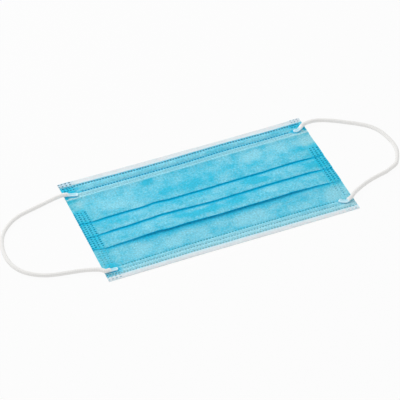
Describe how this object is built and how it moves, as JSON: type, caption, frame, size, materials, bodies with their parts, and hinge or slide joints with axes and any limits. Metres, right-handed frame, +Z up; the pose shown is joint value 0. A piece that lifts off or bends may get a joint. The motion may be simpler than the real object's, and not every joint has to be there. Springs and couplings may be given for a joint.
{
  "type": "surgical face mask",
  "caption": "Pleated rectangular face mask lying flat, blue outside with white edge strips, dot welds, a nose wire and round elastic ear loops.",
  "frame": {"origin": "on the surface, under the middle of the mask without its ear loops", "axes": "+X along the mask's length, +Y towards the nose edge, +Z up, away from the surface"},
  "size_m": [0.2793, 0.095, 0.0055],
  "materials": {
    "blue_cloth": "matte spunbond cloth",
    "white_cloth": "matte spunbond cloth",
    "nose_wire": "satin",
    "elastic": "matte knitted elastic",
    "welded_elastic": "pressed and partly melted elastic"
  },
  "bodies": {
    "root": {"mask_body": "blue_cloth", "hem_top": "white_cloth", "hem_bottom": "white_cloth", "nose_wire": "nose_wire", "ear_loop_left": "elastic", "ear_loop_right": "elastic", "loop_weld_top_left": "welded_elastic", "loop_weld_top_right": "welded_elastic", "loop_weld_bottom_left": "welded_elastic", "loop_weld_bottom_right": "welded_elastic"}
  },
  "joints": []
}
